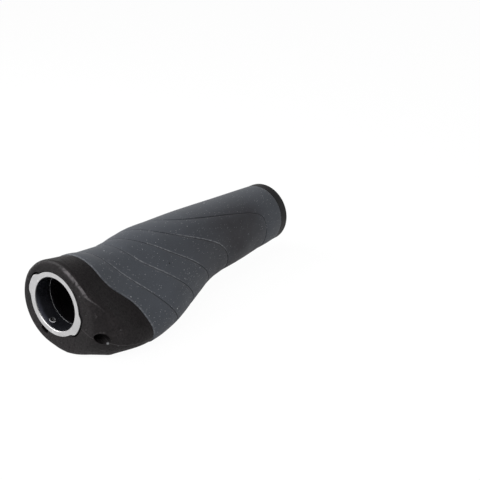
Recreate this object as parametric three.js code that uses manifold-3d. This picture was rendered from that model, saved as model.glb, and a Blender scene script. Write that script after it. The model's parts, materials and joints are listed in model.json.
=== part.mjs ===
// Handlebar grip with a palm wing, for a 22.2 mm bar, in millimetres.
//
// The bar axis runs along X, from the clamp ring at the outer end to the collar at the inner end.
// Pieces are modelled with the wing towards -Y and the palm side towards +Z, then the whole grip is
// turned about the bar axis until it lies on its wing and barrel, as on a table.
// Angles round the bar are in degrees from the wing, growing towards the palm side.

import * as THREE from "three";
import { mergeVertices } from "three/addons/utils/BufferGeometryUtils.js";
import Module from "manifold-3d";

const wasm = await Module();
wasm.setup();

// Driving dimensions: the whole grip
const gripLength = 137;
const barRadius = 11.1;
const wingDroop = 25;
const clearance = 0.3;

// Outer form along the bar: how far the barrel and the wing stand off the bar
const barrelStations = [
  [0, 8], [4, 6.7], [12, 5.3], [30, 3.8], [50, 5.9], [75, 5.6], [100, 4.3], [118, 3.6],
];
const wingStations = [
  [0, 11.1], [1.2, 11.6], [3.5, 13.8], [8, 18.8], [20, 22.3], [36, 20.6], [50, 16.7], [65, 11.6],
  [80, 7.5], [100, 5.9], [118, 4.1],
];
const coverEndWall = 1.25;

// Radius of the wing's rounded edge along the bar
const edgeStations = [[0, 18.6], [20, 5.4], [45, 9.8], [80, 8.4]];

// The form sags away from the palm towards the ring end
const rimDrop = 1;
const rimDropLength = 12;

// Lines that run round the grip: how far along the bar they lie at the wing edge and at the back,
// the angle at which they are halfway, and how suddenly they cross the palm
const housingLine = { edge: 22.4, back: 11.8, halfway: 35.3, sharpness: 3.8 };
const waveLines = [
  { edge: 39.6, back: 13.9, halfway: 42.3, sharpness: 1.4 },
  { edge: 54, back: 29, halfway: 39.4, sharpness: 2.2 },
  { edge: 70, back: 30.8, halfway: 59.7, sharpness: 2.2 },
  { edge: 87.1, back: 40.4, halfway: 69, sharpness: 3.3 },
];
const lastWave = { fromCollar: 13.4, back: 58, halfway: 80.6, sharpness: 7.2 };
const waveWidth = 0.7;
const waveDepth = 0.38;
const panelCrown = 0.16;
const coverLip = 0.28;
const coverLipRound = 0.35;

// Core sleeve and its collar
const sleeveWall = 1.4;
const fingerWall = 0.7;
const collarWidth = 4.7;
const collarRound = 0.8;
const boreStepDepth = 7.4;
const boreStep = 0.25;
const boreStepLength = 0.7;
const slotWidth = 2;
const slotAngles = [27, 147];
const slotTail = 1.5;
const ribCount = 4;
const firstRibAngle = 45;
const ribHeight = 0.5;
const ribWidth = 3;
const ribFromHousing = 3;

// Clamp ring
const bandWall = 1.1;
const ringDepth = 9.4;
const lipDepth = 0.4;
const lipRoom = 0.05;
const ringChamfer = 0.2;
const lugHeight = 1.35;
const lugSpan = 27;
const lugAngles = [-3, 178];
const lugShoulder = 14;
const pinAngle = -97;
const pinDepth = 3.8;
const pinHoleRadius = 0.65;
const pinWindowRadius = 1.1;

// End housing
const faceSetback = 0.35;
const rimRound = 2.5;
const lugRoom = 0.7;
const keywayAngle = -94;
const keywayWidth = 3.6;
const keywayHeight = 1.2;
const keywayDepth = 3;

// Clamp screw, leaning towards the bar end so that a key clears the wing
const screwRadius = 2;
const screwLength = 5;
const screwLean = 7;
const screwAngle = 2.5;
const screwDepth = 4.4;
const screwTipRoom = 1;
const screwTravel = 3;
const socketAcross = 2;
const socketDepth = 2.2;
const accessRadius = 2.45;
const accessFloorRoom = 0.5;

// Facets round the body and round the small cylinders, and rows of facets along the bar
const bodySides = 72;
const boreSides = 48;
const ringSides = 64;
const smallSides = 18;
const sectorStep = 6;
const shoulderPoints = [0.25, 0.5, 0.75];
const wingCrowding = 0.45;
const rimCrowding = 1.4;
const rimRows = 4;
const collarRows = 3;
const housingRows = 8;
const panelRows = 4;
const lastPanelRows = 5;

// How far a cutting body runs on past the face that it opens
const overcut = 1;

const rad = THREE.MathUtils.degToRad;
const sleeveRadius = barRadius + sleeveWall;
const fingerRadius = barRadius + fingerWall;
const seatRadius = sleeveRadius + clearance;
const innerEndRadius = seatRadius + coverEndWall;
const lipRadius = barRadius + lipRoom;
const bandSeat = fingerRadius + clearance;
const ringRadius = bandSeat + bandWall;
const lugRadius = ringRadius + lugHeight;
const screwTipRadius = fingerRadius + screwTipRoom;
const collarStart = gripLength - collarWidth;
const wingReach = barRadius + Math.max(...wingStations.map((station) => station[1]));
const waves = [...waveLines, { ...lastWave, edge: collarStart - lastWave.fromCollar }];

// A smooth curve through stations that never overshoots between them
function stationCurve(stations) {
  const slopes = stations.map((station, i) => {
    if (i === 0 || i === stations.length - 1) return 0;
    const [before, after] = [stations[i - 1], stations[i + 1]];
    const left = (station[1] - before[1]) / (station[0] - before[0]);
    const right = (after[1] - station[1]) / (after[0] - station[0]);
    return left * right > 0 ? (2 * left * right) / (left + right) : 0;
  });
  const first = stations[1];
  slopes[0] = (1.5 * (first[1] - stations[0][1])) / (first[0] - stations[0][0]) - slopes[1] / 2;
  return (x) => {
    let i = 0;
    while (i < stations.length - 2 && x > stations[i + 1][0]) i += 1;
    const [start, end] = [stations[i], stations[i + 1]];
    const span = end[0] - start[0];
    const t = THREE.MathUtils.clamp((x - start[0]) / span, 0, 1);
    const rise = end[1] - start[1];
    const [a, b] = [slopes[i] * span, slopes[i + 1] * span];
    return start[1] + t * (a + t * (3 * rise - 2 * a - b + t * (a + b - 2 * rise)));
  };
}

const toInnerEnd = (stations) => stationCurve([...stations, [gripLength, innerEndRadius]]);
const offBar = (stations) => stations.map(([x, wall]) => [x, barRadius + wall]);
const barrelAt = toInnerEnd(offBar(barrelStations));
const wingAt = toInnerEnd(offBar(wingStations));
const edgeAt = toInnerEnd(edgeStations);

// The section is a barrel circle and a smaller wing edge circle, joined by their common tangents
function bodyRadius(x, angle) {
  const barrel = barrelAt(x);
  const edge = Math.min(edgeAt(x), barrel);
  const edgeCentre = wingAt(x) - edge;
  if (edgeCentre <= barrel - edge) return barrel;
  const turn = Math.abs(angle);
  const touch = Math.acos((barrel - edge) / edgeCentre);
  if (turn >= touch) return barrel;
  const edgeTouch = Math.atan2(edge * Math.sin(touch), edgeCentre + edge * Math.cos(touch));
  if (turn >= edgeTouch) return barrel / Math.cos(touch - turn);
  return edgeCentre * Math.cos(turn) + Math.sqrt(edge ** 2 - (edgeCentre * Math.sin(turn)) ** 2);
}

// How far along the bar a line round the grip lies at an angle
function lineAt(line, angle) {
  const turn = Math.abs(angle) / rad(line.halfway);
  return line.back + (line.edge - line.back) / (1 + turn ** line.sharpness);
}

// Angles round the body, closer together at the wing edge
const bodyAngles = Array.from({ length: bodySides }, (_, i) => {
  const turn = Math.PI * ((2 * i) / bodySides - 1);
  return turn - wingCrowding * Math.sin(turn);
});

// A point at a radius and an angle round the bar, and the same point with the form's sag
const onBody = (x, radius, angle) =>
  new THREE.Vector3(x, -radius * Math.cos(angle), radius * Math.sin(angle));

function onForm(x, radius, angle) {
  const sag = rimDrop * Math.max(0, 1 - x / rimDropLength) ** 2;
  return onBody(x, radius, angle).add(new THREE.Vector3(0, 0, -sag));
}

// A closed body through rings of points, with a fan to the axis at each end. Each face between two
// rings is split along its shorter diagonal, so two bodies that meet on the same face match.
function loft(rings) {
  const sides = rings[0].length;
  const middle = (ring) => ring.reduce((sum, p) => sum + p.x, 0) / sides;
  const points = [...rings.flat(), onBody(middle(rings[0]), 0, 0), onBody(middle(rings.at(-1)), 0, 0)];
  const index = [];
  for (let side = 0; side < sides; side += 1) {
    const next = (side + 1) % sides;
    index.push(points.length - 2, side, next);
    for (let row = 0; row < rings.length - 1; row += 1) {
      const [a, b] = [row * sides + side, row * sides + next];
      const [c, d] = [a + sides, b + sides];
      const across = points[b].distanceTo(points[c]) < points[a].distanceTo(points[d]);
      index.push(...(across ? [a, c, b, b, c, d] : [a, c, d, a, d, b]));
    }
    const last = (rings.length - 1) * sides;
    index.push(points.length - 1, last + next, last + side);
  }
  return new THREE.BufferGeometry().setFromPoints(points).setIndex(index);
}

// A geometry as a solid that can be joined and cut, and back
function toSolid(geometry) {
  const bare = geometry.clone();
  bare.deleteAttribute("normal");
  bare.deleteAttribute("uv");
  const merged = mergeVertices(bare, 1e-4);
  const corners = [];
  for (let i = 0; i < merged.index.count; i += 3) {
    const [a, b, c] = [0, 1, 2].map((k) => merged.index.getX(i + k));
    if (a !== b && b !== c && c !== a) corners.push(a, b, c);
  }
  const vertProperties = new Float32Array(merged.attributes.position.array);
  return new wasm.Manifold(
    new wasm.Mesh({ numProp: 3, vertProperties, triVerts: new Uint32Array(corners) })
  );
}

function toGeometry(solid) {
  const mesh = solid.getMesh();
  const geometry = new THREE.BufferGeometry();
  geometry.setAttribute("position", new THREE.BufferAttribute(mesh.vertProperties, 3));
  geometry.setIndex(new THREE.BufferAttribute(mesh.triVerts, 1));
  return geometry;
}

const cutAll = (solid, cutters) => cutters.reduce((rest, cutter) => rest.subtract(cutter), solid);
const joinAll = (solid, parts) => parts.reduce((whole, part) => whole.add(part), solid);

// A turned body on the bar axis, from [place along the bar, radius] corners that start and end on it
function turned(corners, sides = boreSides) {
  const outline = corners.map(([x, radius]) => new THREE.Vector2(radius, x));
  return toSolid(new THREE.LatheGeometry(outline, sides).rotateZ(-Math.PI / 2));
}

const rod = (radius, start, end, sides) =>
  turned([[start, 0], [start, radius], [end, radius], [end, 0]], sides);

// An outline across the bar, from [radius, angle] corners, extruded along the bar
function extruded(corners, start, end) {
  const outline = corners.map(
    ([radius, angle]) => new THREE.Vector2(-radius * Math.sin(angle), -radius * Math.cos(angle))
  );
  const geometry = new THREE.ExtrudeGeometry(new THREE.Shape(outline), {
    depth: end - start,
    bevelEnabled: false,
  });
  return toSolid(geometry.rotateY(Math.PI / 2).translate(start, 0, 0));
}

// A sector of a ring, between two radii and two angles
function sector(inner, outer, from, to, start, end) {
  const steps = Math.max(2, Math.ceil((to - from) / rad(sectorStep)));
  const arc = (radius) =>
    Array.from({ length: steps + 1 }, (_, i) => [radius, from + ((to - from) * i) / steps]);
  return extruded([...arc(inner), ...arc(outer).reverse()], start, end);
}

function sectorAt(inner, outer, angle, width, start, end) {
  const half = Math.asin(width / 2 / outer);
  return sector(inner, outer, rad(angle) - half, rad(angle) + half, start, end);
}

// The clamp ring's outline: a circle with a lug on two sides, with the room round it as margins
function ringOutline(margin, lugMargin) {
  const half = rad(lugSpan / 2);
  const shoulder = rad(lugShoulder);
  const room = lugMargin / ringRadius;
  const corners = lugAngles.flatMap((lug) =>
    [-1, 1].flatMap((side) =>
      shoulderPoints.map((share) => rad(lug) + side * (half + room + share * shoulder))
    )
  );
  const round = Array.from({ length: ringSides }, (_, i) => (2 * Math.PI * i) / ringSides);
  const angles = [...round, ...corners].map((angle) => (angle + 2 * Math.PI) % (2 * Math.PI));
  return angles.sort((a, b) => a - b).map((angle) => {
    const away = lugAngles.map((lug) => {
      const turn = Math.abs(angle - rad(lug)) % (2 * Math.PI);
      return Math.min(turn, 2 * Math.PI - turn);
    });
    const past = (Math.min(...away) - half - room) / shoulder;
    const rise = THREE.MathUtils.smoothstep(1 - past, 0, 1);
    return [ringRadius + margin + rise * (lugHeight + lugMargin - margin), angle];
  });
}

// The screw's own line: a body along X from its tip, stood on the sleeve near the plane of the wing
function onScrewLine(solid) {
  return solid
    .rotate([0, 0, -90 - screwLean])
    .translate([screwDepth, -screwTipRadius, 0])
    .rotate([-screwAngle, 0, 0]);
}

// A round hole through the sleeve's fingers and the ring behind them, for the pin that keys them
function pinHole(radius) {
  const drill = new THREE.CylinderGeometry(radius, radius, 2 * (ringRadius - barRadius), smallSides);
  return toSolid(drill)
    .translate([0, -(barRadius + ringRadius) / 2, 0])
    .rotate([-pinAngle, 0, 0])
    .translate([pinDepth, 0, 0]);
}

function coreSleeve() {
  const start = lipDepth + clearance;
  const fingerEnd = ringDepth + clearance;
  const slotEnd = fingerEnd + slotTail;
  const mouth = barRadius + boreStep;
  const outside = turned([
    [start, 0], [start, fingerRadius], [fingerEnd, fingerRadius], [fingerEnd, sleeveRadius],
    [collarStart, sleeveRadius], [collarStart, innerEndRadius],
    ...collarCorner(), [gripLength, 0],
  ], bodySides);
  const bore = turned([
    [start - overcut, 0], [start - overcut, mouth], [boreStepDepth, mouth],
    [boreStepDepth + boreStepLength, barRadius], [gripLength - boreStep, barRadius],
    [gripLength + overcut, barRadius + boreStep + overcut], [gripLength + overcut, 0],
  ]);
  const slots = slotAngles.map((angle) =>
    sectorAt(
      mouth - overcut, sleeveRadius + overcut, angle, slotWidth, start - overcut, slotEnd
    )
  );
  return cutAll(joinAll(outside, ribSectors(0)), [bore, ...slots, pinHole(pinWindowRadius)]);
}

// The collar's rounded outer corner, as places and radii
function collarCorner() {
  return Array.from({ length: collarRows + 1 }, (_, i) => {
    const turn = (Math.PI / 2) * (i / collarRows);
    return [
      gripLength - collarRound * (1 - Math.sin(turn)),
      innerEndRadius - collarRound * (1 - Math.cos(turn)),
    ];
  });
}

// Ribs along the sleeve that key the cover, or the channels for them with a margin
function ribSectors(margin) {
  const start = housingLine.edge + ribFromHousing - margin;
  const end = collarStart + (margin > 0 ? overcut : 0);
  return Array.from({ length: ribCount }, (_, i) =>
    sectorAt(
      sleeveRadius - sleeveWall / 2, sleeveRadius + ribHeight + margin,
      firstRibAngle + (360 * i) / ribCount, ribWidth + 2 * margin, start, end
    )
  );
}

function clampRing() {
  const body = extruded(ringOutline(0, 0), 0, ringDepth);
  const bore = turned([
    [-overcut, 0], [-overcut, lipRadius + ringChamfer + overcut], [ringChamfer, lipRadius],
    [lipDepth, lipRadius], [lipDepth, bandSeat], [ringDepth + overcut, bandSeat],
    [ringDepth + overcut, 0],
  ]);
  const thread = onScrewLine(rod(screwRadius + clearance, -screwTravel, screwLength, smallSides));
  return cutAll(body, [bore, pinHole(pinHoleRadius), thread]);
}

function endHousing() {
  // Rows round the rim first, then rows that spread out towards the housing line
  const rim = Array.from({ length: rimRows }, (_, i) => {
    const turn = (Math.PI / 2) * (i / rimRows);
    const x = faceSetback + rimRound * (1 - Math.cos(turn));
    const drop = rimRound * (1 - Math.sin(turn));
    return bodyAngles.map((angle) => onForm(x, bodyRadius(x, angle) - drop, angle));
  });
  const rimEnd = faceSetback + rimRound;
  const sides = Array.from({ length: housingRows + 1 }, (_, i) =>
    bodyAngles.map((angle) => {
      const x = rimEnd + (i / housingRows) ** rimCrowding * (lineAt(housingLine, angle) - rimEnd);
      return onForm(x, bodyRadius(x, angle), angle);
    })
  );
  const front = bodyAngles.map((angle) => onBody(faceSetback, barRadius / 2, angle));
  const rear = bodyAngles.map((angle) => onBody(lineAt(housingLine, angle), barRadius / 2, angle));
  const recess = extruded(
    ringOutline(clearance, lugRoom), faceSetback - overcut, ringDepth + clearance
  );
  const keyway = sectorAt(
    ringRadius - bandWall / 2, ringRadius + keywayHeight, keywayAngle, keywayWidth,
    faceSetback - overcut, keywayDepth
  );
  const bore = rod(seatRadius, faceSetback - overcut, housingLine.edge + overcut, boreSides);
  const floor = lugRadius + accessFloorRoom - screwTipRadius;
  const access = onScrewLine(rod(accessRadius, floor, wingReach, smallSides));
  const thread = onScrewLine(rod(screwRadius + clearance, 0, screwLength, smallSides));
  return cutAll(toSolid(loft([front, ...rim, ...sides, rear])), [recess, keyway, bore, access, thread]);
}

function rubberCover() {
  const gap = (angle) => lineAt(housingLine, angle) + clearance;
  const end = collarStart - clearance;
  const lines = [gap, ...waves.map((wave) => (angle) => lineAt(wave, angle)), () => end];
  // The groove keeps its width across the line, however steeply the line runs
  const halfWidth = (line, angle) => {
    const step = 0.01;
    const slope = (line(angle + step) - line(angle)) / step / barrelAt(line(angle));
    return (waveWidth / 2) * Math.hypot(1, slope);
  };
  const rings = [];
  const addRing = (place, lift) =>
    rings.push(
      bodyAngles.map((angle) => {
        const x = place(angle);
        return onForm(x, bodyRadius(x, angle) + lift, angle);
      })
    );
  lines.slice(0, -1).forEach((line, i) => {
    const next = lines[i + 1];
    const grooveBefore = i > 0;
    const grooveAfter = i < lines.length - 2;
    const from = (angle) => line(angle) + (grooveBefore ? halfWidth(line, angle) : coverLipRound);
    const to = (angle) => next(angle) - (grooveAfter ? halfWidth(next, angle) : 0);
    if (grooveBefore) addRing(line, -waveDepth);
    if (!grooveBefore) addRing(line, -coverLipRound / 2);
    const rows = grooveAfter ? panelRows : lastPanelRows;
    for (let k = 0; k <= rows; k += 1) {
      const t = k / rows;
      const lift = panelCrown * (4 * t * (1 - t)) + (grooveBefore ? 0 : coverLip * (1 - t));
      addRing((angle) => from(angle) + t * (to(angle) - from(angle)), lift);
    }
  });
  const front = bodyAngles.map((angle) => onBody(gap(angle), barRadius / 2, angle));
  const rear = bodyAngles.map((angle) => onBody(end, barRadius / 2, angle));
  const bore = rod(seatRadius, 0, gripLength, boreSides);
  return cutAll(toSolid(loft([front, ...rings, rear])), [bore, ...ribSectors(clearance)]);
}

function clampScrew() {
  const body = rod(screwRadius, 0, screwLength, smallSides);
  const socketRadius = socketAcross / 2 / Math.cos(Math.PI / 6);
  const socket = rod(socketRadius, screwLength - socketDepth, screwLength + overcut, 6);
  return onScrewLine(body.subtract(socket));
}

const blackNylon = { color: 0x141416, roughness: 0.35, metalness: 0 };
const blackPlastic = { color: 0x1d1c1e, roughness: 0.6, metalness: 0 };
const greyRubber = { color: 0x3c4046, roughness: 0.8, metalness: 0 };
const brushedAluminium = { color: 0xc8c9cc, roughness: 0.35, metalness: 1 };
const zincSteel = { color: 0xa9abae, roughness: 0.3, metalness: 1 };

function piece(name, solid, finish) {
  const mesh = new THREE.Mesh(toGeometry(solid), new THREE.MeshStandardMaterial(finish));
  mesh.name = name;
  return mesh;
}

const grip = new THREE.Group();
grip.add(
  piece("core_sleeve", coreSleeve(), blackNylon),
  piece("end_housing", endHousing(), blackPlastic),
  piece("rubber_cover", rubberCover(), greyRubber),
  piece("clamp_ring", clampRing(), brushedAluminium),
  piece("clamp_screw", clampScrew(), zincSteel)
);
grip.rotation.x = rad(wingDroop);

// The origin is under the middle of the grip, on the surface it lies on
const box = new THREE.Box3().setFromObject(grip, true);
const middle = box.getCenter(new THREE.Vector3());
grip.position.set(-middle.x, -middle.y, -box.min.z);

export default grip;
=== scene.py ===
"""A handlebar grip with a palm wing: its finished pieces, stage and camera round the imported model.

The grip's own frame starts at the centre of the ring face, with x along the bar, -y towards the
wing and z towards the palm. It is the frame that every pattern is laid out in, in millimetres.
"""

import json
import math

import bpy
from bpy.props import FloatProperty, FloatVectorProperty, PointerProperty
from mathutils import Matrix, Vector


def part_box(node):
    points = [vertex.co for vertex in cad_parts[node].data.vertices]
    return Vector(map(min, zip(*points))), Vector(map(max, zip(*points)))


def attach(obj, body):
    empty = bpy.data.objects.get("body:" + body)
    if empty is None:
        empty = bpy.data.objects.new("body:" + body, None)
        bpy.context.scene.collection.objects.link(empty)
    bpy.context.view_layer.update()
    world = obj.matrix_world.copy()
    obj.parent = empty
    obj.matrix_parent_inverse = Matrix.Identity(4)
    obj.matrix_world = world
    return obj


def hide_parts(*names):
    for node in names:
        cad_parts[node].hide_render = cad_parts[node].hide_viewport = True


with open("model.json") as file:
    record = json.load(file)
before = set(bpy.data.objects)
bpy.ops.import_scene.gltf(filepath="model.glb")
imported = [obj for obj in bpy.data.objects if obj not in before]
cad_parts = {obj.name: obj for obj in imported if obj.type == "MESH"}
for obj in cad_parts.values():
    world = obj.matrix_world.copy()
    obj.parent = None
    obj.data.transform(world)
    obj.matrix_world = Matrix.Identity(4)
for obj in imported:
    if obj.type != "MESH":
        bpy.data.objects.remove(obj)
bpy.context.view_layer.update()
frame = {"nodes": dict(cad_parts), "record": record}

bl_info = {
    "name": "Handlebar grip",
    "version": (1, 0, 0),
    "blender": (4, 5, 0),
    "location": "3D View > Sidebar > Grip",
    "description": "Finishes the pieces of a handlebar grip and sets its stage",
    "category": "Object",
}

MM = 0.001
MERGE_GAP = 0.002 * MM
THREAD_MERGE_GAP = 0.001 * MM
WING_DROOP = math.radians(25)
TO_WORLD = Matrix.Rotation(WING_DROOP, 3, "X")
BORE_LOW, BORE_HIGH = (Vector(c) for c in frame["record"]["physics"]["openings"][0]["box_m"])
RING_CENTRE = Vector((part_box("clamp_ring")[0].x, *((BORE_LOW + BORE_HIGH) / 2).yz))

# Places in the grip's own frame, in mm: dust on the wing, the pin's window in the wall of the bore,
# the painted glint at the mouth of the screw hole, and the edge of the bore's step along the bar
DUST_PLACE = (52.6, -20.3, 9.2)
PIN_PLACE = (3.8, 1.4, -11.2)
GLINT_PLACE = (4.6, -26.0, -0.5)
BORE_STEP = 8.1

# Surfaces of the sleeve that are nearer to the bar's axis than this, in mm, face the bore
BORE_REACH = 11.5

# How far along the bar the painted highlight on the ridge of the rim lies beside the ring, and once
# it has fallen back towards the wing
RIDGE_FRONT = 0.85
RIDGE_BACK = 4.6

# The keyway beside the ring: its angle from the wing, how far its middle is from the bar's axis,
# that middle, and its size along the bar, out from the axis and across
KEYWAY_ANGLE = math.radians(-94)
KEYWAY_RADIUS = 14.15
KEYWAY_PLACE = Vector(
    (1.3, -KEYWAY_RADIUS * math.cos(KEYWAY_ANGLE), KEYWAY_RADIUS * math.sin(KEYWAY_ANGLE))
)
KEYWAY_SIZE = Vector((3.7, 2.5, 3.75))

# The set screw's tip, the line it lies along, out towards the wing, and the radius of its hole
SCREW_TIP = Vector((4.4, -12.788, 0.558))
SCREW_LINE = Vector((-0.1219, -0.9916, 0.0433)).normalized()
HOLE_RADIUS = 2.45

# Lines that run round the grip, as in the model: how far along the bar they lie at the wing edge
# and at the back, the angle at which they are halfway, and how suddenly they cross the palm
HOUSING_LINE = {"edge": 22.4, "back": 11.8, "halfway": 35.3, "sharpness": 3.8}
WAVE_LINES = (
    {"edge": 39.6, "back": 13.9, "halfway": 42.3, "sharpness": 1.4},
    {"edge": 54.0, "back": 29.0, "halfway": 39.4, "sharpness": 2.2},
    {"edge": 70.0, "back": 30.8, "halfway": 59.7, "sharpness": 2.2},
    {"edge": 87.1, "back": 40.4, "halfway": 69.0, "sharpness": 3.3},
    {"edge": 118.9, "back": 58.0, "halfway": 80.6, "sharpness": 7.2},
)

# Lamps round the grip: azimuth and elevation in degrees, distance and size in metres, and watts
LAMPS = {
    "key_lamp": (-88, 47, 0.9, 0.6, 5.3),
    "front_lamp": (-52, 50, 0.8, 0.25, 1.5),
    "side_lamp": (-12, 25, 0.9, 0.4, 0.8),
    "back_lamp": (-150, 45, 0.6, 0.3, 4),
}

# How much of its plain white the floor shows to the camera and to what is glossy, instead of the
# light and shadow on it, and how bright the walls are to all else
FLOOR_SEEN = 0.965
FLOOR_MIRRORED = 0.5
WALL_LIGHT = 0.6


class GripColours(bpy.types.PropertyGroup):
    """Colours of the grip's finishes."""

    rubber: FloatVectorProperty(
        name="Rubber", description="Blue grey of the rubber cover",
        default=(0.0318, 0.0352, 0.0419), min=0, max=1, size=3, subtype="COLOR",
    )
    # Partly handled rubber, partly painted shade where the barrel turns away from the light
    rubber_handled_and_shade: FloatVectorProperty(
        name="Handled and shaded rubber",
        description="Browner grey of the rubber where fingers close round it",
        default=(0.0135, 0.013, 0.0158), min=0, max=1, size=3, subtype="COLOR",
    )
    # Painted highlight on the grooves' lips and on the cover's edge by the housing
    rubber_lip_highlight: FloatVectorProperty(
        name="Rubber lip highlights", description="Paler grey of the rubber's raised edges",
        default=(0.13, 0.135, 0.145), min=0, max=1, size=3, subtype="COLOR",
    )
    # Painted shade in the grooves and creases
    rubber_groove_shade: FloatVectorProperty(
        name="Rubber groove shade", description="Dark grey at the bottom of the wave grooves",
        default=(0.009, 0.01, 0.012), min=0, max=1, size=3, subtype="COLOR",
    )
    # Also the colour of the painted glint at the mouth of the screw hole
    specks: FloatVectorProperty(
        name="Light specks", description="Pale flecks in the rubber",
        default=(0.32, 0.33, 0.34), min=0, max=1, size=3, subtype="COLOR",
    )
    dark_grains: FloatVectorProperty(
        name="Dark grains", description="Black grains in the rubber",
        default=(0.006, 0.006, 0.007), min=0, max=1, size=3, subtype="COLOR",
    )
    housing: FloatVectorProperty(
        name="Housing", description="Black of the moulded end housing",
        default=(0.0054, 0.0045, 0.0048), min=0, max=1, size=3, subtype="COLOR",
    )
    housing_shade: FloatVectorProperty(
        name="Housing shade", description="Deep black in the housing's keyway and screw hole",
        default=(0.001, 0.0009, 0.001), min=0, max=1, size=3, subtype="COLOR",
    )
    # Painted highlight on the rim's ridge and painted glints on its far side, also rubbed edges and
    # the seam
    housing_highlight_and_marks: FloatVectorProperty(
        name="Housing highlight and marks", description="Grey of the housing where its rim and edges are rubbed",
        default=(0.078, 0.073, 0.076), min=0, max=1, size=3, subtype="COLOR",
    )
    sleeve: FloatVectorProperty(
        name="Sleeve", description="Black of the nylon sleeve and its collar",
        default=(0.003, 0.0026, 0.003), min=0, max=1, size=3, subtype="COLOR",
    )
    # Painted light on the bore near its mouth, where light comes in past the ring
    sleeve_mouth_light: FloatVectorProperty(
        name="Sleeve mouth light", description="Blue black of the bare nylon inside the ring",
        default=(0.0075, 0.0078, 0.0095), min=0, max=1, size=3, subtype="COLOR",
    )
    # Painted highlights on the sleeve's sharp edges, the bore's step and the pin's window
    sleeve_edge_highlight: FloatVectorProperty(
        name="Sleeve edge highlights", description="Grey of the sleeve's sharp edges",
        default=(0.55, 0.55, 0.57), min=0, max=1, size=3, subtype="COLOR",
    )
    sleeve_shine: FloatVectorProperty(
        name="Sleeve shine",
        description="Blue grey where light slides along the wall behind the ring",
        default=(0.045, 0.047, 0.06), min=0, max=1, size=3, subtype="COLOR",
    )
    ring: FloatVectorProperty(
        name="Ring", description="Silver of the clamp ring",
        default=(0.385, 0.382, 0.385), min=0, max=1, size=3, subtype="COLOR",
    )
    screw: FloatVectorProperty(
        name="Screw", description="Zinc grey of the set screw",
        default=(0.46, 0.46, 0.47), min=0, max=1, size=3, subtype="COLOR",
    )


class GripSizes(bpy.types.PropertyGroup):
    """Roundings, grain and specks."""

    edge_round: FloatProperty(
        name="Edge rounding", description="Width of the rounding on moulded edges",
        default=0.2 * MM, min=0, max=MM, unit="LENGTH",
    )
    ring_round: FloatProperty(
        name="Ring edge break", description="Width of the broken edges of the ring",
        default=0.12 * MM, min=0, max=MM, unit="LENGTH",
    )
    grain: FloatProperty(
        name="Plastic grain", description="Size of the fine grain on the black plastic, in mm",
        default=0.45, min=0.05, max=3,
    )
    mottle: FloatProperty(
        name="Plastic mottle", description="Size of the leathery mottle on the housing, in mm",
        default=0.9, min=0.1, max=5,
    )
    rubber_grain: FloatProperty(
        name="Rubber grain", description="Size of the fine grain on the rubber, in mm",
        default=0.3, min=0.05, max=3,
    )
    speck_spacing: FloatProperty(
        name="Speck spacing", description="Distance between the rubber's specks, in mm",
        default=0.7, min=0.2, max=10,
    )
    speck_radius: FloatProperty(
        name="Speck radius", description="Radius of the rubber's small specks, in mm",
        default=0.13, min=0.02, max=1,
    )
    screw_radius: FloatProperty(
        name="Screw radius", description="Radius of the set screw over its thread",
        default=2 * MM, min=0.5 * MM, max=5 * MM, unit="LENGTH",
    )
    screw_length: FloatProperty(
        name="Screw length", description="Length of the set screw",
        default=5 * MM, min=MM, max=20 * MM, unit="LENGTH",
    )
    socket_width: FloatProperty(
        name="Socket width", description="Width of the set screw's hexagon socket across its flats",
        default=2 * MM, min=0.5 * MM, max=5 * MM, unit="LENGTH",
    )
    socket_depth: FloatProperty(
        name="Socket depth", description="Depth of the set screw's hexagon socket",
        default=2.2 * MM, min=0.2 * MM, max=10 * MM, unit="LENGTH",
    )
    screw_pitch: FloatProperty(
        name="Thread pitch", description="Pitch of the set screw's thread",
        default=0.7 * MM, min=0.2 * MM, max=2 * MM, unit="LENGTH",
    )


class GripStage(bpy.types.PropertyGroup):
    """Floor, light and camera."""

    floor_size: FloatProperty(
        name="Floor size", description="Side of the square floor", default=4, min=1, unit="LENGTH",
    )
    floor_colour: FloatVectorProperty(
        name="Floor colour", description="Colour of the floor and the backdrop",
        default=(1, 1, 1), min=0, max=1, size=3, subtype="COLOR",
    )
    ceiling: FloatProperty(
        name="Ceiling", description="Brightness of the studio overhead, beside white walls",
        default=0.3, min=0, max=1, subtype="FACTOR",
    )
    camera_azimuth: FloatProperty(
        name="Camera azimuth", description="Angle of the camera round the grip",
        default=math.radians(-52.59), subtype="ANGLE", unit="ROTATION",
    )
    camera_elevation: FloatProperty(
        name="Camera elevation", description="Angle of the camera above the floor",
        default=math.radians(20.96), subtype="ANGLE", unit="ROTATION",
    )
    camera_lens: FloatProperty(
        name="Camera lens", description="Focal length of the camera's lens",
        default=75, min=10, max=300, unit="CAMERA",
    )
    camera_distance: FloatProperty(
        name="Camera distance", description="From the camera to the plane of the ring's centre",
        default=0.386, min=0.1, unit="LENGTH",
    )
    aim_right: FloatProperty(
        name="Aim to the right", description="How far right of the ring's centre the camera aims",
        default=71.67 * MM, unit="LENGTH",
    )
    aim_up: FloatProperty(
        name="Aim up", description="How far above the ring's centre the camera aims",
        default=24.92 * MM, unit="LENGTH",
    )


# Node trees

# Places of the Mix node's sockets when it mixes colours
MIX_SHARE, MIX_A, MIX_B = 0, 6, 7
MIX_RESULT = 2

# What the Geometry node gives as Pointiness where a surface is flat
FLAT = 0.5

# The wave lines' formula has no slope at the very edge of the wing, so degrees stop short of it
LEAST_ANGLE = 0.5


def fill(tree, made, inputs):
    """Gives a node its inputs, each a number, a colour or a link."""
    for socket, value in inputs.items():
        if isinstance(value, bpy.types.NodeSocket):
            tree.links.new(value, made.inputs[socket])
        else:
            made.inputs[socket].default_value = value


def node(tree, kind, inputs=None, **settings):
    """A shader node with its settings and its inputs."""
    made = tree.nodes.new("ShaderNode" + kind)
    for name, value in settings.items():
        setattr(made, name, value)
    fill(tree, made, inputs or {})
    return made


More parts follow.
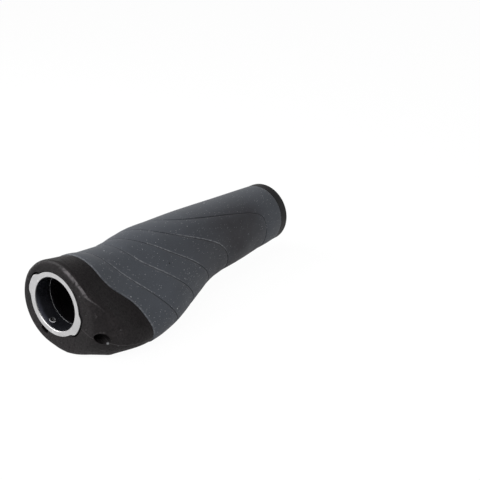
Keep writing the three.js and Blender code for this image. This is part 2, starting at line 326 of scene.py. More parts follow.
def sum_of(tree, operation, *values, clamp=False):
    """A Math node's result."""
    made = node(tree, "Math", dict(enumerate(values)), operation=operation, use_clamp=clamp)
    return made.outputs[0]


def ramp(tree, value, low, high, start=0.0, end=1.0):
    """A value that turns smoothly from start to end between low and high."""
    made = node(
        tree, "MapRange",
        {"Value": value, "From Min": low, "From Max": high, "To Min": start, "To Max": end},
        interpolation_type="SMOOTHSTEP",
    )
    return made.outputs["Result"]


def blend(tree, share, first, second):
    """One colour over another, by a share."""
    first, second = (
        colour if isinstance(colour, bpy.types.NodeSocket) else (*colour, 1)
        for colour in (first, second)
    )
    made = node(tree, "Mix", {MIX_SHARE: share, MIX_A: first, MIX_B: second}, data_type="RGBA")
    return made.outputs[MIX_RESULT]


def product(tree, *values):
    """Several values multiplied together."""
    total = values[0]
    for value in values[1:]:
        total = sum_of(tree, "MULTIPLY", total, value)
    return total


def largest(tree, *values):
    """The largest of several values."""
    total = values[0]
    for value in values[1:]:
        total = sum_of(tree, "MAXIMUM", total, value)
    return total


def stripe(tree, value, middle, half):
    """A soft stripe round one value, as wide as twice its half width."""
    off = sum_of(tree, "ABSOLUTE", sum_of(tree, "SUBTRACT", value, middle))
    return ramp(tree, off, half * 0.4, half, 1.0, 0.0)


def between(tree, value, rise, fall):
    """Rises from 0 to 1 over one span of a value, and falls back to 0 over a later one."""
    return product(tree, ramp(tree, value, *rise), ramp(tree, value, *fall, 1.0, 0.0))


def distance_to(tree, place, point):
    """Distance in mm from the place on the grip to a point."""
    return node(tree, "VectorMath", {0: place, 1: point}, operation="DISTANCE").outputs["Value"]


def tint(tree, colour, tone):
    """A colour made lighter or darker by a tone that changes over the surface."""
    return node(tree, "VectorMath", {0: colour, 1: tone}, operation="MULTIPLY").outputs[0]


def effect(name, inputs, outputs):
    """An empty node group for an effect that several finishes share."""
    tree = bpy.data.node_groups.new(name, "ShaderNodeTree")
    for socket, default in inputs.items():
        kind = "NodeSocketVector" if default is None else "NodeSocketFloat"
        made = tree.interface.new_socket(socket, in_out="INPUT", socket_type=kind)
        if default is not None:
            made.default_value = default
    for socket in outputs:
        tree.interface.new_socket(socket, in_out="OUTPUT", socket_type="NodeSocketFloat")
    given = tree.nodes.new("NodeGroupInput").outputs
    result = tree.nodes.new("NodeGroupOutput").inputs
    return tree, given, result


def use(tree, name, **inputs):
    """A shared effect placed in a material with its own values."""
    made = tree.nodes.new("ShaderNodeGroup")
    made.node_tree = bpy.data.node_groups[name]
    fill(tree, made, {socket.capitalize(): value for socket, value in inputs.items()})
    return made.outputs


def make_grain():
    """Fine pebbled grain of moulded plastic and rubber."""
    tree, given, result = effect("grain", {"Place": None, "Size": 0.4}, ["Height"])
    scale = sum_of(tree, "DIVIDE", 1.0, given["Size"])
    fine = node(
        tree, "TexNoise",
        {"Vector": given["Place"], "Scale": scale, "Detail": 3.0, "Roughness": 0.6},
    )
    pebbles = node(
        tree, "TexVoronoi",
        {"Vector": given["Place"], "Scale": scale, "Smoothness": 0.6}, feature="SMOOTH_F1",
    )
    height = sum_of(tree, "MULTIPLY_ADD", pebbles.outputs["Distance"], 0.5, fine.outputs["Fac"])
    tree.links.new(height, result["Height"])


def make_clouds():
    """Slow change over a surface, from 0 to 1."""
    tree, given, result = effect("clouds", {"Place": None, "Size": 12, "Contrast": 1}, ["Amount"])
    scale = sum_of(tree, "DIVIDE", 1.0, given["Size"])
    slow = node(
        tree, "TexNoise",
        {"Vector": given["Place"], "Scale": scale, "Detail": 4.0, "Roughness": 0.55},
    )
    offset = sum_of(tree, "SUBTRACT", slow.outputs["Fac"], 0.5)
    spread = sum_of(tree, "MULTIPLY", offset, given["Contrast"])
    tree.links.new(sum_of(tree, "ADD", spread, 0.5, clamp=True), result["Amount"])


def make_specks():
    """Small round specks, each in its own cell, of which only a share is filled."""
    tree, given, result = effect(
        "specks", {"Place": None, "Spacing": 1.5, "Radius": 0.2, "Share": 0.3}, ["Mask"]
    )
    scale = sum_of(tree, "DIVIDE", 1.0, given["Spacing"])
    cells = node(tree, "TexVoronoi", {"Vector": given["Place"], "Scale": scale}, feature="F1")
    chance = node(tree, "SeparateColor", {"Color": cells.outputs["Color"]})
    filled = sum_of(tree, "LESS_THAN", chance.outputs[0], given["Share"])
    radius = sum_of(tree, "MULTIPLY", given["Radius"], scale)
    reach = sum_of(tree, "MULTIPLY", sum_of(tree, "ADD", chance.outputs[1], 0.5), radius)
    inside = sum_of(tree, "SUBTRACT", reach, cells.outputs["Distance"])
    edge = sum_of(tree, "DIVIDE", inside, sum_of(tree, "MULTIPLY", reach, 0.3), clamp=True)
    tree.links.new(sum_of(tree, "MULTIPLY", edge, filled), result["Mask"])


def make_polar():
    """Degrees round the bar, from the wing towards the palm, and distance from the bar's axis."""
    tree, given, result = effect("polar", {"Place": None}, ["Angle", "Radius"])
    parts = node(tree, "SeparateXYZ", {0: given["Place"]}).outputs
    wing = sum_of(tree, "MULTIPLY", parts["Y"], -1.0)
    turn = sum_of(tree, "ARCTAN2", parts["Z"], wing)
    squares = [sum_of(tree, "POWER", part, 2.0) for part in (wing, parts["Z"])]
    tree.links.new(sum_of(tree, "DEGREES", turn), result["Angle"])
    tree.links.new(sum_of(tree, "SQRT", sum_of(tree, "ADD", *squares)), result["Radius"])


def make_edges():
    """Masks of convex edges and of creases, from how the mesh bends."""
    tree, given, result = effect("edges", {"Width": 0.03}, ["Worn", "Crease"])
    bend = sum_of(tree, "SUBTRACT", node(tree, "NewGeometry").outputs["Pointiness"], FLAT)
    convex = sum_of(tree, "DIVIDE", bend, given["Width"], clamp=True)
    inward = sum_of(tree, "MULTIPLY", given["Width"], -1.0)
    hollow = sum_of(tree, "DIVIDE", bend, inward, clamp=True)
    tree.links.new(convex, result["Worn"])
    tree.links.new(hollow, result["Crease"])


def make_wave_line():
    """Distance in mm over the surface from a line round the grip, positive towards the collar."""
    shape = {"Edge": 40.0, "Back": 14.0, "Halfway": 40.0, "Sharpness": 2.0}
    tree, given, result = effect("wave_line", {"Place": None, **shape}, ["Distance"])
    polar = use(tree, "polar", place=given["Place"])
    along = node(tree, "SeparateXYZ", {0: given["Place"]}).outputs["X"]
    angle = sum_of(tree, "MAXIMUM", sum_of(tree, "ABSOLUTE", polar["Angle"]), LEAST_ANGLE)
    turn = sum_of(tree, "DIVIDE", angle, given["Halfway"])
    power = sum_of(tree, "POWER", turn, given["Sharpness"])
    share = sum_of(tree, "DIVIDE", 1.0, sum_of(tree, "ADD", power, 1.0))
    spread = sum_of(tree, "SUBTRACT", given["Edge"], given["Back"])
    line = sum_of(tree, "MULTIPLY_ADD", spread, share, given["Back"])
    fall = product(tree, spread, given["Sharpness"], power, share, share)
    turned = product(tree, polar["Radius"], sum_of(tree, "RADIANS", angle))
    slope = sum_of(tree, "DIVIDE", fall, turned)
    stretch = sum_of(tree, "SQRT", sum_of(tree, "MULTIPLY_ADD", slope, slope, 1.0))
    off = sum_of(tree, "SUBTRACT", along, line)
    tree.links.new(sum_of(tree, "DIVIDE", off, stretch), result["Distance"])


def make_turning():
    """Fine concentric lines that a lathe leaves round the bar axis."""
    tree, given, result = effect("turning", {"Place": None, "Pitch": 0.3}, ["Height"])
    radius = use(tree, "polar", place=given["Place"])["Radius"]
    rings = sum_of(tree, "DIVIDE", radius, given["Pitch"])
    lines = node(tree, "TexNoise", {"W": rings, "Detail": 3.0}, noise_dimensions="1D")
    tree.links.new(lines.outputs["Fac"], result["Height"])


def finish_of(name):
    """A new material with the place on the grip in mm, and its Principled shader."""
    material = bpy.data.materials.new(name)
    material.use_nodes = True
    tree = material.node_tree
    shader = tree.nodes["Principled BSDF"]
    place = node(
        tree, "Mapping",
        {
            "Vector": node(tree, "TexCoord").outputs["Object"],
            "Location": RING_CENTRE, "Rotation": (WING_DROOP, 0, 0), "Scale": (MM, MM, MM),
        },
        vector_type="TEXTURE",
    )
    return material, tree, shader, place.outputs[0]


def connect(tree, shader, colour, roughness, height, strength, distance):
    """Joins what changes over the surface to the shader's sockets."""
    tree.links.new(colour, shader.inputs["Base Color"])
    tree.links.new(roughness, shader.inputs["Roughness"])
    bump = node(tree, "Bump", {"Height": height, "Strength": strength, "Distance": distance})
    tree.links.new(bump.outputs["Normal"], shader.inputs["Normal"])


def rubber_finish():
    """Speckled blue-grey rubber, with painted shade on a handled belt and in grooves, and painted
    lip highlights.
    """
    looks = bpy.context.scene.grip_colours
    sizes = bpy.context.scene.grip_sizes
    material, tree, shader, place = finish_of("grip_rubber")
    shader.inputs["Specular IOR Level"].default_value = 0.16
    shader.inputs["Sheen Weight"].default_value = 0.06
    shader.inputs["Sheen Roughness"].default_value = 0.5
    along = node(tree, "SeparateXYZ", {0: place}).outputs["X"]
    angle = use(tree, "polar", place=place)["Angle"]
    clouds = use(tree, "clouds", place=place, size=14.0, contrast=1.4)["Amount"]
    # Darker belt round the barrel's narrow part, fingers' side: part handled rubber, part painted
    # shade
    narrow = between(tree, along, (52.0, 98.0), (106.0, 126.0))
    fingers = between(tree, angle, (-175.0, -95.0), (55.0, 118.0))
    belt = product(tree, narrow, fingers, ramp(tree, clouds, 0.1, 0.7, 0.6, 1.0))
    base = blend(tree, belt, looks.rubber, looks.rubber_handled_and_shade)
    fine = use(tree, "grain", place=place, size=sizes.rubber_grain)["Height"]
    tone = product(
        tree, ramp(tree, clouds, 0.2, 0.8, 0.92, 1.08), ramp(tree, fine, 0.3, 0.95, 0.88, 1.12)
    )
    toned = tint(tree, base, tone)
    # Pale flecks in drifts, a few bolder ones and a smear of dust on the wing, all fewer on the
    # belt, and black grains
    drift = use(tree, "clouds", place=place, size=9.0, contrast=3.0)["Amount"]
    pale = use(
        tree, "specks", place=place, spacing=sizes.speck_spacing, radius=sizes.speck_radius,
        share=sum_of(tree, "MULTIPLY_ADD", drift, 0.45, 0.12),
    )["Mask"]
    bold = use(tree, "specks", place=place, spacing=4.2, radius=0.24, share=0.4)["Mask"]
    near = ramp(tree, distance_to(tree, place, DUST_PLACE), 2.0, 7.0, 0.65, 0.0)
    dust = use(tree, "specks", place=place, spacing=0.8, radius=0.17, share=near)["Mask"]
    light = largest(tree, product(tree, pale, 0.55), bold, product(tree, dust, 0.7))
    clean = sum_of(tree, "MULTIPLY_ADD", belt, -0.6, 1.0)
    speckled = blend(tree, product(tree, light, clean), toned, looks.specks)
    grains = use(tree, "specks", place=place, spacing=9.0, radius=0.4, share=0.35)["Mask"]
    grained = blend(tree, grains, speckled, looks.dark_grains)
    bends = use(tree, "edges", width=0.05)
    # Painted shade in the creases
    crease_shaded = blend(tree, product(tree, bends["Crease"], 0.5), grained, looks.rubber_groove_shade)
    # Painted shade at the bottom of each groove, less over the palm
    off = [use(tree, "wave_line", place=place, **line)["Distance"] for line in WAVE_LINES]
    palm = between(tree, angle, (18.0, 34.0), (66.0, 92.0))
    bottoms = largest(tree, *(stripe(tree, distance, -0.05, 0.36) for distance in off))
    depth = sum_of(tree, "MULTIPLY_ADD", palm, -0.35, 0.8)
    groove_shaded = blend(tree, product(tree, bottoms, depth), crease_shaded, looks.rubber_groove_shade)
    # The lip on its collar side gets a patchy painted highlight there, and so does the cover's edge
    # by the housing
    patches = use(tree, "clouds", place=place, size=1.2, contrast=2.2)["Amount"]
    patchy = ramp(tree, patches, 0.3, 0.7, 0.3, 1.0)
    lips = largest(tree, *(stripe(tree, distance, 0.45, 0.34) for distance in off[:-1]))
    edge = use(tree, "wave_line", place=place, **HOUSING_LINE)["Distance"]
    rim = ramp(tree, edge, 0.35, 1.0, 0.5, 0.0)
    pale_edges = product(tree, largest(tree, product(tree, lips, palm, 0.75), rim), patchy)
    highlit = largest(tree, pale_edges, product(tree, bends["Worn"], 0.12))
    colour = blend(tree, highlit, groove_shaded, looks.rubber_lip_highlight)
    roughness = ramp(tree, clouds, 0.1, 0.9, 0.58, 0.72)
    connect(tree, shader, colour, roughness, fine, 0.3, 0.05 * MM)
    return material


def housing_finish():
    """Black mottled plastic, with a painted grey highlight along the ridge of its rim."""
    looks = bpy.context.scene.grip_colours
    sizes = bpy.context.scene.grip_sizes
    material, tree, shader, place = finish_of("housing_plastic")
    shader.inputs["Specular IOR Level"].default_value = 0.085
    parts = node(tree, "SeparateXYZ", {0: place}).outputs
    angle = use(tree, "polar", place=place)["Angle"]
    clouds = use(tree, "clouds", place=place, size=10.0, contrast=1.6)["Amount"]
    grain = use(tree, "grain", place=place, size=sizes.grain)["Height"]
    mottle = use(tree, "grain", place=place, size=sizes.mottle)["Height"]
    bends = use(tree, "edges", width=0.03)
    tone = product(
        tree, ramp(tree, clouds, 0.2, 0.8, 0.8, 1.2), ramp(tree, mottle, 0.3, 0.95, 0.55, 1.45)
    )
    base = tint(tree, looks.housing, tone)
    # Deep shade in the keyway by the ring, down the hole that leads to the screw, and some of it on
    # the side away from the wing
    keyway = ramp(tree, distance_to(tree, place, KEYWAY_PLACE), 1.6, 2.3, 0.9, 0.0)
    from_tip = node(tree, "VectorMath", {0: place, 1: SCREW_TIP}, operation="SUBTRACT").outputs[0]
    across = node(tree, "VectorMath", {0: from_tip, 1: SCREW_LINE}, operation="CROSS_PRODUCT")
    beside = node(tree, "VectorMath", {0: across.outputs[0]}, operation="LENGTH").outputs["Value"]
    hole = product(
        tree, ramp(tree, beside, HOLE_RADIUS - 0.07, HOLE_RADIUS + 0.03, 1.0, 0.0),
        ramp(tree, parts["Y"], -14.0, -10.0, 1.0, 0.0),
    )
    outer = ramp(tree, sum_of(tree, "ABSOLUTE", angle), 128.0, 150.0)
    shade = largest(tree, keyway, product(tree, hole, 0.7), product(tree, outer, 0.4))
    shaded = blend(tree, shade, base, looks.housing_shade)
    # A painted highlight runs along the ridge of the rim on its palm side, falling back towards the
    # wing, painted glints lie here and there on the side away from the wing, and sharp edges are
    # rubbed paler
    ridge = ramp(tree, angle, 25.0, 50.0, RIDGE_BACK, RIDGE_FRONT)
    ridge_highlight = stripe(tree, sum_of(tree, "SUBTRACT", parts["X"], ridge), 0.0, 0.5)
    span = between(tree, angle, (22.0, 60.0), (88.0, 108.0))
    spots = sum_of(tree, "MULTIPLY_ADD", ramp(tree, mottle, 0.45, 0.8), 0.75, 0.1)
    far_glints = product(
        tree, outer, stripe(tree, parts["X"], 1.0, 0.7), ramp(tree, mottle, 0.7, 0.9), 0.35
    )
    edges = product(tree, bends["Worn"], ramp(tree, grain, 0.5, 0.9), 0.25)
    highlights_and_wear = largest(tree, product(tree, ridge_highlight, span, spots), edges, far_glints)
    highlighted = blend(tree, highlights_and_wear, shaded, looks.housing_highlight_and_marks)
    # A painted glint at the mouth of the hole, and a little dust
    hole_glint = ramp(tree, distance_to(tree, place, GLINT_PLACE), 0.25, 0.75, 0.3, 0.0)
    dust = use(tree, "specks", place=place, spacing=2.4, radius=0.13, share=0.3)["Mask"]
    with_glint = blend(tree, hole_glint, highlighted, looks.specks)
    dusty = blend(tree, product(tree, dust, 0.3), with_glint, looks.specks)
    # The parting line of the mould, in the plane of the wing
    parting = ramp(tree, sum_of(tree, "ABSOLUTE", parts["Z"]), 0.05, 0.18, 1.0, 0.0)
    seam = product(tree, parting, sum_of(tree, "SUBTRACT", 1.0, hole))
    colour = blend(tree, product(tree, seam, 0.3), dusty, looks.housing_highlight_and_marks)
    polish = ramp(tree, mottle, 0.35, 0.9, 0.08, -0.08)
    roughness = sum_of(tree, "ADD", ramp(tree, clouds, 0.1, 0.9, 0.48, 0.6), polish)
    raised = sum_of(tree, "MULTIPLY_ADD", seam, 0.6, sum_of(tree, "ADD", grain, mottle))
    connect(tree, shader, colour, roughness, raised, 0.6, 0.1 * MM)
    return material


def sleeve_finish():
    """Black nylon, glossy in the bore and duller on the collar, with painted light at its mouth and
    edges.
    """
    looks = bpy.context.scene.grip_colours
    material, tree, shader, place = finish_of("sleeve_nylon")
    shader.inputs["Specular IOR Level"].default_value = 0.2
    parts = node(tree, "SeparateXYZ", {0: place}).outputs
    along = parts["X"]
    polar = use(tree, "polar", place=place)
    clouds = use(tree, "clouds", place=place, size=7.0, contrast=1.6)["Amount"]
    grain = use(tree, "grain", place=place, size=0.6)["Height"]
    # Painted light: the bore is lighter near its mouth, where light comes in past the ring
    mouth = ramp(tree, along, 7.0, 10.0, 1.0, 0.0)
    base = blend(tree, mouth, looks.sleeve, looks.sleeve_mouth_light)
    toned = tint(tree, base, ramp(tree, clouds, 0.2, 0.8, 0.75, 1.25))
    bends = use(tree, "edges", width=0.04)
    # Painted highlights on sharp edges, mostly near the mouth
    edges = product(tree, bends["Worn"], ramp(tree, along, 9.0, 20.0, 0.6, 0.02))
    # In the bore, the edge of the step and the near side of the pin's window catch the light
    inside = ramp(tree, polar["Radius"], BORE_REACH - 0.05, BORE_REACH + 0.1, 1.0, 0.0)
    step = product(tree, stripe(tree, along, BORE_STEP, 0.12), 0.5)
    forward = sum_of(tree, "MULTIPLY_ADD", along, -0.6, product(tree, parts["Y"], -0.4))
    brim = stripe(tree, distance_to(tree, place, PIN_PLACE), 1.2, 0.4)
    window = product(tree, brim, ramp(tree, forward, -2.9, -2.0))
    bright = product(tree, largest(tree, step, window), inside)
    # The wall behind the ring shines blue grey low down, away from the wing
    low = between(tree, polar["Angle"], (-172.0, -140.0), (-112.0, -78.0))
    shine = product(
        tree, low, ramp(tree, along, 1.2, 3.2, 1.0, 0.0), inside,
        ramp(tree, clouds, 0.2, 0.7, 0.5, 1.0),
    )
    shiny = blend(tree, shine, toned, looks.sleeve_shine)
    colour = blend(tree, largest(tree, edges, bright), shiny, looks.sleeve_edge_highlight)
    # Glossy at the mouth, duller down the bore and on the collar
    deep = ramp(tree, along, 8.5, 20.0)
    gloss = ramp(tree, clouds, 0.1, 0.9, 0.2, 0.32)
    roughness = sum_of(tree, "MULTIPLY_ADD", deep, 0.3, gloss)
    connect(tree, shader, colour, roughness, grain, 0.15, 0.04 * MM)
    return material


def ring_finish():
    """Silver aluminium with fine turned lines."""
    looks = bpy.context.scene.grip_colours
    material, tree, shader, place = finish_of("ring_aluminium")
    shader.inputs["Metallic"].default_value = 1
    clouds = use(tree, "clouds", place=place, size=5.0, contrast=1.5)["Amount"]
    lines = use(tree, "turning", place=place, pitch=0.12)["Height"]
    tone = product(
        tree, ramp(tree, clouds, 0.2, 0.8, 0.92, 1.04), ramp(tree, lines, 0.3, 0.7, 0.94, 1.04)
    )
    # The ring's edges get a painted highlight
    bends = use(tree, "edges", width=0.04)
    bright = sum_of(tree, "MULTIPLY_ADD", bends["Worn"], 0.35, tone)
    colour = tint(tree, looks.ring, bright)
    roughness = ramp(tree, lines, 0.3, 0.7, 0.32, 0.44)
    connect(tree, shader, colour, roughness, lines, 0.3, 0.02 * MM)
    return material


def screw_finish():
    """Cloudy zinc-plated steel."""
    looks = bpy.context.scene.grip_colours
    material, tree, shader, place = finish_of("screw_steel")
    shader.inputs["Metallic"].default_value = 1
    clouds = use(tree, "clouds", place=place, size=1.5, contrast=1.8)["Amount"]
    colour = tint(tree, looks.screw, ramp(tree, clouds, 0.2, 0.8, 0.75, 1.1))
    roughness = ramp(tree, clouds, 0.1, 0.9, 0.25, 0.45)
    height = use(tree, "grain", place=place, size=0.2)["Height"]
    connect(tree, shader, colour, roughness, height, 0.1, 0.02 * MM)
    return material


# Pieces

def in_world(place):
    """A place in the grip's own frame, in the frame that all pieces share."""
    return RING_CENTRE + TO_WORLD @ place * MM


def pick(piece):
    """Only this piece is selected, and it is the active one."""
    bpy.ops.object.select_all(action="DESELECT")
    piece.select_set(True)
    bpy.context.view_layer.objects.active = piece


def copy_of(name, piece_name):
    """A merged copy of a node, with its triangles paired into quads."""
    source = frame["nodes"][name]
    piece = bpy.data.objects.new(piece_name, source.data.copy())
    bpy.context.scene.collection.objects.link(piece)
    pick(piece)
    bpy.ops.mesh.customdata_custom_splitnormals_clear()
    bpy.ops.object.mode_set(mode="EDIT")
    bpy.ops.mesh.select_all(action="SELECT")
    bpy.ops.mesh.remove_doubles(threshold=MERGE_GAP)
    bpy.ops.mesh.mark_sharp(clear=True)
    bpy.ops.mesh.tris_convert_to_quads(
        face_threshold=math.radians(20), shape_threshold=math.radians(60)
    )
    bpy.ops.object.mode_set(mode="OBJECT")
    return piece


def round_edges(piece, width, angle, segments=2):
    """Bevels every edge that is sharper than an angle in degrees."""
    bevel = piece.modifiers.new("edges", "BEVEL")
    bevel.width = width
    bevel.segments = segments
    bevel.limit_method = "ANGLE"
    bevel.angle_limit = math.radians(angle)
    bevel.miter_outer = "MITER_ARC"
    pick(piece)
    bpy.ops.object.modifier_apply(modifier=bevel.name)


def smooth_out(piece, levels=2, angle=35):
    """Subdivides a piece and smooths its shading up to an angle in degrees."""
    if levels:
        smooth = piece.modifiers.new("smooth", "SUBSURF")
        smooth.levels = smooth.render_levels = levels
        pick(piece)
        bpy.ops.object.modifier_apply(modifier=smooth.name)
    pick(piece)
    bpy.ops.object.shade_smooth_by_angle(angle=math.radians(angle))


def cut_out(piece, cutter):
    """Cuts one shape out of a piece and takes the cutter away."""
    cut = piece.modifiers.new("cut", "BOOLEAN")
    cut.operation = "DIFFERENCE"
    cut.object = cutter
    pick(piece)
    bpy.ops.object.modifier_apply(modifier=cut.name)
    pick(cutter)
    bpy.ops.object.delete()


def dress(piece, material, node_name):
    """Gives a finished piece its material and its place in the model."""
    piece.data.materials.clear()
    piece.data.materials.append(material)
    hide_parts(node_name)
    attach(piece, "root")


class GRIP_OT_core_sleeve(bpy.types.Operator):
    """Finish the nylon sleeve and its collar"""

    bl_idname = "grip.core_sleeve"
    bl_label = "Core sleeve"

    def execute(self, context):
        piece = copy_of("core_sleeve", "core_sleeve_moulded")
        round_edges(piece, context.scene.grip_sizes.edge_round, angle=30)
        smooth_out(piece)
        dress(piece, sleeve_finish(), "core_sleeve")
        return {"FINISHED"}


class GRIP_OT_end_housing(bpy.types.Operator):
    """Finish the black end housing of the wing and widen the keyway beside the ring"""

    bl_idname = "grip.end_housing"
    bl_label = "End housing"

    def execute(self, context):
        piece = copy_of("end_housing", "end_housing_moulded")
        bpy.ops.object.select_all(action="DESELECT")
        bpy.ops.mesh.primitive_cube_add(
            size=1, scale=KEYWAY_SIZE * MM, rotation=(math.pi - KEYWAY_ANGLE + WING_DROOP, 0, 0),
            location=in_world(KEYWAY_PLACE),
        )
        cut_out(piece, context.object)
        round_edges(piece, context.scene.grip_sizes.edge_round, angle=30)
        smooth_out(piece)
        dress(piece, housing_finish(), "end_housing")
        return {"FINISHED"}


class GRIP_OT_rubber_cover(bpy.types.Operator):
    """Finish the speckled rubber cover and the lips of its wave grooves"""

    bl_idname = "grip.rubber_cover"
    bl_label = "Rubber cover"

    def execute(self, context):
        piece = copy_of("rubber_cover", "rubber_cover_moulded")
        round_edges(piece, context.scene.grip_sizes.edge_round, angle=24, segments=1)
        smooth_out(piece)
        dress(piece, rubber_finish(), "rubber_cover")
        return {"FINISHED"}


class GRIP_OT_clamp_ring(bpy.types.Operator):
    """Finish the turned clamp ring"""

    bl_idname = "grip.clamp_ring"
    bl_label = "Clamp ring"

    def execute(self, context):
        piece = copy_of("clamp_ring", "clamp_ring_turned")
        round_edges(piece, context.scene.grip_sizes.ring_round, angle=30)
        smooth_out(piece)
        dress(piece, ring_finish(), "clamp_ring")
        return {"FINISHED"}


class GRIP_OT_clamp_screw(bpy.types.Operator):
    """Cut the set screw with its thread and its hexagon socket"""

    bl_idname = "grip.clamp_screw"
    bl_label = "Clamp screw"

    def execute(self, context):
        piece = self.threaded_rod(context.scene.grip_sizes)
        self.cut_socket(piece, context.scene.grip_sizes)
        piece.location = in_world(SCREW_TIP)
        piece.rotation_euler = (TO_WORLD @ SCREW_LINE).to_track_quat("Z", "Y").to_euler()
        pick(piece)
        bpy.ops.object.transform_apply(location=True, rotation=True, scale=True)
        smooth_out(piece, levels=0, angle=25)
        dress(piece, screw_finish(), "clamp_screw")
        return {"FINISHED"}

    def threaded_rod(self, sizes):
        """A threaded rod that stands on the origin, wound from one tooth of its thread."""
        pitch, length, up = sizes.screw_pitch, sizes.screw_length, (0, 0, 1)
        bpy.ops.object.select_all(action="DESELECT")
        bpy.ops.mesh.primitive_circle_add(
            vertices=4, radius=pitch / 2, rotation=(math.radians(90), 0, 0),
            location=(sizes.screw_radius - pitch / 2, 0, -pitch),
        )
        piece = bpy.context.object
        piece.name = "clamp_screw_threaded"
        bpy.ops.object.transform_apply(location=True, rotation=True, scale=True)
        bpy.ops.object.mode_set(mode="EDIT")
        bpy.ops.mesh.select_mode(type="VERT")
        bpy.ops.mesh.select_all(action="DESELECT")
        bpy.ops.object.mode_set(mode="OBJECT")
        # Only the inner corner of the square goes, and a tooth is left
        for vertex in piece.data.vertices:
            vertex.select = vertex.co.x < sizes.screw_radius - 0.75 * pitch
        bpy.ops.object.mode_set(mode="EDIT")
        bpy.ops.mesh.delete(type="VERT")
        bpy.ops.object.mode_set(mode="OBJECT")
        thread = piece.modifiers.new("thread", "SCREW")
        thread.steps = thread.render_steps = 36
        thread.iterations = math.ceil(length / pitch) + 3
        thread.screw_offset = pitch
        thread.use_merge_vertices = True
        thread.merge_threshold = THREAD_MERGE_GAP
        bpy.ops.object.modifier_apply(modifier=thread.name)
        bpy.ops.object.mode_set(mode="EDIT")
        bpy.ops.mesh.select_all(action="SELECT")
        bpy.ops.mesh.remove_doubles(threshold=THREAD_MERGE_GAP)
        bpy.ops.mesh.bisect(plane_co=(0, 0, 0), plane_no=up, use_fill=True, clear_inner=True)
        bpy.ops.mesh.select_all(action="SELECT")
        bpy.ops.mesh.bisect(plane_co=(0, 0, length), plane_no=up, use_fill=True, clear_outer=True)
        bpy.ops.mesh.select_all(action="SELECT")
        bpy.ops.mesh.normals_make_consistent(inside=False)
        bpy.ops.object.mode_set(mode="OBJECT")
        return piece

    def cut_socket(self, piece, sizes):
        """Cuts the hexagon socket into the far end of the rod."""
        bpy.ops.object.select_all(action="DESELECT")
        bpy.ops.mesh.primitive_cylinder_add(
            vertices=6, radius=sizes.socket_width / 2 / math.cos(math.radians(30)),
            depth=2 * sizes.socket_depth, location=(0, 0, sizes.screw_length),
        )
        cut_out(piece, bpy.context.object)


# Stage

def floor_finish(colour):
    """A floor that shows white but keeps a share of the grip's shadow."""
    material = bpy.data.materials.new("floor_paper")
    material.use_nodes = True
    tree = material.node_tree
    tree.nodes.remove(tree.nodes["Principled BSDF"])
    paper = node(tree, "BsdfDiffuse", {"Color": (*colour, 1)})
    white = node(tree, "Emission", {"Color": (*colour, 1), "Strength": 1.0})
    rays = node(tree, "LightPath").outputs
    seen = product(tree, rays["Is Camera Ray"], FLOOR_SEEN)
    mirrored = largest(tree, rays["Is Glossy Ray"], rays["Is Transmission Ray"])
    share = largest(tree, seen, product(tree, mirrored, FLOOR_MIRRORED))
    mix = node(tree, "MixShader", {0: share, 1: paper.outputs[0], 2: white.outputs[0]})
    tree.links.new(mix.outputs[0], tree.nodes["Material Output"].inputs["Surface"])
    return material


def add_lamp(name, azimuth, elevation, distance, size, power):
    """A square soft lamp that aims at the floor under the middle of the grip."""
    a, e = math.radians(azimuth), math.radians(elevation)
    away = Vector((math.sin(a) * math.cos(e), -math.cos(a) * math.cos(e), math.sin(e)))
    bpy.ops.object.light_add(type="AREA", location=away * distance)
    lamp = bpy.context.object
    lamp.name = name
    lamp.data.size = size
    lamp.data.energy = power
    lamp.rotation_euler = away.to_track_quat("Z", "Y").to_euler()


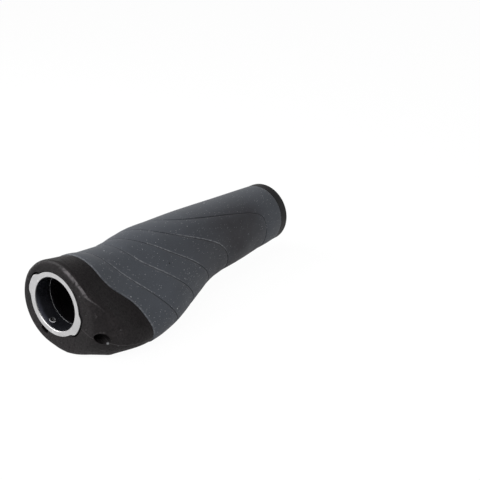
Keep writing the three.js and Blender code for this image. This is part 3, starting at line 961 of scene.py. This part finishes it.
class GRIP_OT_stage(bpy.types.Operator):
    """Set the floor, the light and the camera"""

    bl_idname = "grip.stage"
    bl_label = "Stage"

    def execute(self, context):
        stage = context.scene.grip_stage
        bpy.ops.object.select_all(action="DESELECT")
        bpy.ops.mesh.primitive_plane_add(size=stage.floor_size)
        floor = context.object
        floor.name = "floor"
        floor.data.materials.append(floor_finish(stage.floor_colour))

        world = bpy.data.worlds.new("studio")
        context.scene.world = world
        world.use_nodes = True
        tree = world.node_tree
        rays = node(tree, "LightPath").outputs
        seen = largest(
            tree, rays["Is Camera Ray"], rays["Is Glossy Ray"], rays["Is Transmission Ray"]
        )
        walls = ramp(tree, seen, 0.0, 1.0, WALL_LIGHT, 1.0)
        direction = node(tree, "TexCoord").outputs["Generated"]
        height = node(tree, "SeparateXYZ", {0: direction}).outputs["Z"]
        dimmed = ramp(tree, height, 0.2, 0.85, 1.0, stage.ceiling)
        sky = tree.nodes["Background"]
        sky.inputs["Color"].default_value = (1, 1, 1, 1)
        tree.links.new(product(tree, walls, dimmed), sky.inputs["Strength"])

        for name, values in LAMPS.items():
            add_lamp(name, *values)
        self.add_camera(context, stage)
        context.scene.view_settings.view_transform = "Standard"
        return {"FINISHED"}

    def add_camera(self, context, stage):
        """A camera that looks along its azimuth and elevation at a place beside the ring."""
        azimuth, elevation = stage.camera_azimuth, stage.camera_elevation
        back = Vector(
            (
                math.sin(azimuth) * math.cos(elevation),
                -math.cos(azimuth) * math.cos(elevation),
                math.sin(elevation),
            )
        )
        right = Vector((math.cos(azimuth), math.sin(azimuth), 0))
        up = back.cross(right)
        aim = RING_CENTRE + right * stage.aim_right + up * stage.aim_up
        bpy.ops.object.camera_add(location=aim + back * stage.camera_distance)
        camera = context.object
        camera.name = "camera"
        camera.rotation_euler = Matrix((right, up, back)).transposed().to_euler()
        camera.data.lens = stage.camera_lens
        camera.data.sensor_width = 36
        context.scene.camera = camera


class GRIP_PT_sidebar(bpy.types.Panel):
    """Buttons and values of the grip"""

    bl_idname = "GRIP_PT_sidebar"
    bl_label = "Handlebar grip"
    bl_space_type = "VIEW_3D"
    bl_region_type = "UI"
    bl_category = "Grip"

    def draw(self, context):
        for operator in OPERATORS:
            self.layout.operator(operator.bl_idname)
        scene = context.scene
        for group in (scene.grip_colours, scene.grip_sizes, scene.grip_stage):
            box = self.layout.box()
            for name in group.__annotations__:
                box.prop(group, name)


OPERATORS = (
    GRIP_OT_core_sleeve, GRIP_OT_end_housing, GRIP_OT_rubber_cover, GRIP_OT_clamp_ring,
    GRIP_OT_clamp_screw, GRIP_OT_stage,
)
EFFECTS = (
    make_polar, make_grain, make_clouds, make_specks, make_edges, make_wave_line, make_turning,
)
CLASSES = (GripColours, GripSizes, GripStage, *OPERATORS, GRIP_PT_sidebar)


def register():
    for cls in CLASSES:
        bpy.utils.register_class(cls)
    bpy.types.Scene.grip_colours = PointerProperty(type=GripColours)
    bpy.types.Scene.grip_sizes = PointerProperty(type=GripSizes)
    bpy.types.Scene.grip_stage = PointerProperty(type=GripStage)


def unregister():
    for name in ("grip_colours", "grip_sizes", "grip_stage"):
        delattr(bpy.types.Scene, name)
    for cls in reversed(CLASSES):
        bpy.utils.unregister_class(cls)


def main():
    """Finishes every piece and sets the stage."""
    register()
    for make in EFFECTS:
        make()
    for operator in OPERATORS:
        group, name = operator.bl_idname.split(".")
        getattr(getattr(bpy.ops, group), name)()


if __name__ == "__main__":
    main()
